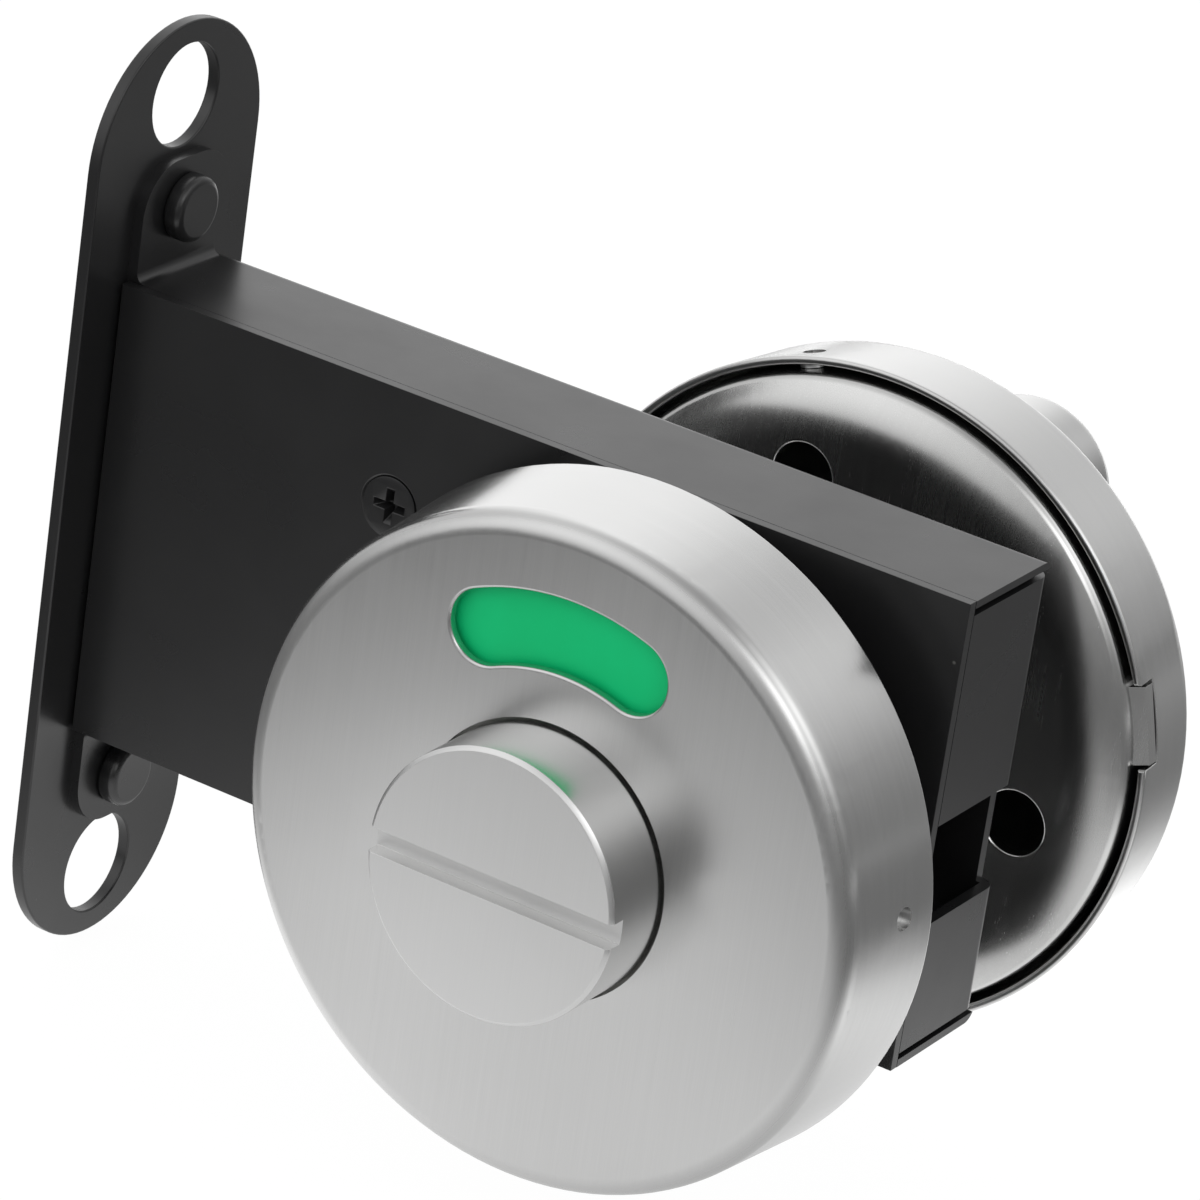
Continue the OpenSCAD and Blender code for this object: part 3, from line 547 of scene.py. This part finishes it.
# CAD nodes that keep their own mesh take the finish of their slot
for name, obj in frame["nodes"].items():
    if not obj.hide_render:
        obj.material_slots[0].material = FINISH[SLOT_OF[name]]


# Studio

# Floor: size and drop below the part in metres, share of real shadow, its white to the camera and its grey
FLOOR_SIZE = 4.0
FLOOR_DROP = 0.0004
SHADOW_SHARE = 0.06
FLOOR_WHITE = 1.035
FLOOR_GREY = 0.8

# Even light of the room, and of the floor as reflections see it
SKY_LEVEL = 0.18
FLOOR_LEVEL = 0.19
# Soft lights round the object, fitted to the photograph's tones: direction, sharpness, radiance
SKY_LIGHTS = [
    ((-0.58, 0.81, 0.02), 3.5, 1.16),
    ((-0.51, -0.66, 0.54), 4.1, 1.15),
    ((0.49, 0.63, 0.60), 18.3, 0.66),
    ((0.55, -0.59, 0.59), 32.3, 2.30),
    ((-0.37, 0.49, 0.79), 9.7, 0.83),
    ((0.71, 0.03, 0.70), 15.7, 1.55),
    ((0.21, 0.94, 0.27), 58.1, 0.25),
]
# Bright patches of the floor as reflections see it, fitted likewise: place and spread in metres, radiance
FLOOR_PATCHES = [
    ((0.013, -0.020), 0.028, 0.99),
    ((0.014, -0.097), 0.019, 1.06),
    ((0.077, -0.066), 0.035, 0.76),
    ((0.064, 0.054), 0.027, 1.80),
    ((0.132, 0.009), 0.026, 0.93),
    ((-0.067, 0.476), 0.144, 2.21),
    ((1.777, 0.457), 0.500, 1.69),
]

# Dark card between the roses, a painted shade for reflections in the inside base plate that stands in for the
# shade under the outside rose: its centre and size in metres, how far its rear and top edges fade, and its
# grey
CARD_AT = (0.077, 0.004, -0.0205)
CARD_W, CARD_H = 0.036, 0.0456
CARD_FADE_X, CARD_FADE_Z = 0.011, 0.014
CARD_GREY = 0.03

# Camera of the photograph
CAMERA_EYE = Vector((0.30404, -0.4491, 0.23292))
CAMERA_VIEW = Vector((-0.453, 0.7958, -0.4019))
CAMERA_RIGHT = Vector((0.8307, 0.5404, 0.1337))
CAMERA_LENS = 202.6
CAMERA_SENSOR = 36.0
CAMERA_NEAR, CAMERA_FAR = 0.01, 10


def sheet(name, finish, size_x, size_y):
    """A flat rectangle of the studio about the origin, with an empty material and that material's tree."""
    bm = bmesh.new()
    bmesh.ops.create_grid(bm, x_segments=1, y_segments=1, size=0.5)
    bmesh.ops.scale(bm, verts=bm.verts, vec=(size_x, size_y, 1))
    mesh = bpy.data.meshes.new(name)
    bm.to_mesh(mesh)
    bm.free()
    made = bpy.data.objects.new(name, mesh)
    bpy.context.scene.collection.objects.link(made)
    material = bpy.data.materials.new(finish)
    material.use_nodes = True
    tree = material.node_tree
    tree.nodes.remove(tree.nodes["Principled BSDF"])
    mesh.materials.append(material)
    return made, material, tree


def mix(tree, share, first, second):
    """The shader between two others."""
    return add(tree, "ShaderNodeMixShader", links={0: share, 1: first.outputs[0], 2: second.outputs[0]})


def total(tree, level, terms):
    """The sum of a level and some values."""
    for term in terms:
        level = maths(tree, "ADD", level, term)
    return level


def soft_spot(tree, place, centre, size):
    """1 at a place on the floor, falling away round it."""
    apart = add(tree, "ShaderNodeVectorMath", {1: (*centre, 0)}, {0: place}, operation="DISTANCE")
    squared = maths(tree, "MULTIPLY", apart.outputs["Value"], apart.outputs["Value"])
    return maths(tree, "EXPONENT", maths(tree, "MULTIPLY", squared, -0.5 / size ** 2))


def floor():
    """White floor with a faint shadow, seen in patches by reflections and clear from below."""
    made, material, tree = sheet("floor", "floor_white", FLOOR_SIZE, FLOOR_SIZE)
    made.location.z = cad_low.z - FLOOR_DROP
    material.cycles.emission_sampling = "NONE"
    place = add(tree, "ShaderNodeTexCoord").outputs["Object"]
    patches = [maths(tree, "MULTIPLY", soft_spot(tree, place, centre, size), radiance)
               for centre, size, radiance in FLOOR_PATCHES]
    path = add(tree, "ShaderNodeLightPath")
    matt = add(tree, "ShaderNodeBsdfDiffuse", {"Color": (FLOOR_GREY, FLOOR_GREY, FLOOR_GREY, 1)})
    white = add(tree, "ShaderNodeEmission", {"Color": (1, 1, 1, 1), "Strength": FLOOR_WHITE})
    patched = add(tree, "ShaderNodeEmission", {"Color": (1, 1, 1, 1)},
                  {"Strength": total(tree, FLOOR_LEVEL, patches)})
    seen = maths(tree, "ADD", path.outputs["Is Camera Ray"], path.outputs["Is Transmission Ray"], clamp=True)
    lit = mix(tree, maths(tree, "MULTIPLY", seen, 1 - SHADOW_SHARE), matt, white)
    mirrored = mix(tree, path.outputs["Is Glossy Ray"], lit, patched)
    back = add(tree, "ShaderNodeNewGeometry").outputs["Backfacing"]
    shown = mix(tree, back, mirrored, add(tree, "ShaderNodeBsdfTransparent"))
    tree.links.new(shown.outputs[0], tree.nodes["Material Output"].inputs["Surface"])


def card():
    """The dark card of painted shade, which faces the inside rose and is seen from its front and by
    reflections only.
    """
    made, _, tree = sheet("card", "painted_shade_card", CARD_W, CARD_H)
    made.location = CARD_AT
    made.rotation_euler = (-math.pi / 2, 0, 0)
    made.visible_camera = made.visible_diffuse = made.visible_transmission = made.visible_shadow = False
    place = add(tree, "ShaderNodeSeparateXYZ", links={0: add(tree, "ShaderNodeTexCoord").outputs["Object"]})
    before_rear = spread(tree, place.outputs["X"], 1, 0, CARD_W / 2 - CARD_FADE_X, CARD_W / 2, True)
    below_top = spread(tree, place.outputs["Y"], 0, 1, -CARD_H / 2, CARD_FADE_Z - CARD_H / 2, True)
    front = maths(tree, "SUBTRACT", 1.0, add(tree, "ShaderNodeNewGeometry").outputs["Backfacing"])
    share = maths(tree, "MULTIPLY", maths(tree, "MULTIPLY", before_rear, below_top), front)
    # Painted shade: the dark grey that reflections in the inside base plate see in place of the shade under
    # the outside rose
    dark = add(tree, "ShaderNodeBsdfDiffuse", {"Color": (CARD_GREY, CARD_GREY, CARD_GREY, 1)})
    shown = mix(tree, share, add(tree, "ShaderNodeBsdfTransparent"), dark)
    tree.links.new(shown.outputs[0], tree.nodes["Material Output"].inputs["Surface"])


def world():
    """White to the camera, and soft lights to everything else."""
    made = bpy.data.worlds.new("studio")
    bpy.context.scene.world = made
    made.use_nodes = True
    tree = made.node_tree
    back = tree.nodes["Background"]
    seen = add(tree, "ShaderNodeLightPath").outputs["Is Camera Ray"]
    direction = add(tree, "ShaderNodeTexCoord").outputs["Generated"]
    lights = []
    for towards, sharpness, radiance in SKY_LIGHTS:
        near = add(tree, "ShaderNodeVectorMath", {1: Vector(towards).normalized()}, {0: direction},
                   operation="DOT_PRODUCT").outputs["Value"]
        fall = maths(tree, "MULTIPLY", maths(tree, "SUBTRACT", near, 1.0), sharpness)
        lights.append(maths(tree, "MULTIPLY", maths(tree, "EXPONENT", fall), radiance))
    strength = blend(tree, seen, total(tree, SKY_LEVEL, lights), 1.0)
    back.inputs["Color"].default_value = (1, 1, 1, 1)
    tree.links.new(strength, back.inputs["Strength"])


def camera():
    """The camera at the photograph's place, with its roll."""
    data = bpy.data.cameras.new("photo_camera")
    data.lens, data.sensor_width = CAMERA_LENS, CAMERA_SENSOR
    data.clip_start, data.clip_end = CAMERA_NEAR, CAMERA_FAR
    made = bpy.data.objects.new("photo_camera", data)
    bpy.context.scene.collection.objects.link(made)
    level = CAMERA_VIEW.to_track_quat("-Z", "Y")
    roll = (level @ Vector((1, 0, 0))).angle(CAMERA_RIGHT)
    made.location = CAMERA_EYE
    made.rotation_mode = "QUATERNION"
    made.rotation_quaternion = level @ Quaternion((0, 0, 1), roll)
    bpy.context.scene.camera = made


floor()
card()
world()
camera()

bpy.context.scene.view_settings.view_transform = "Standard"
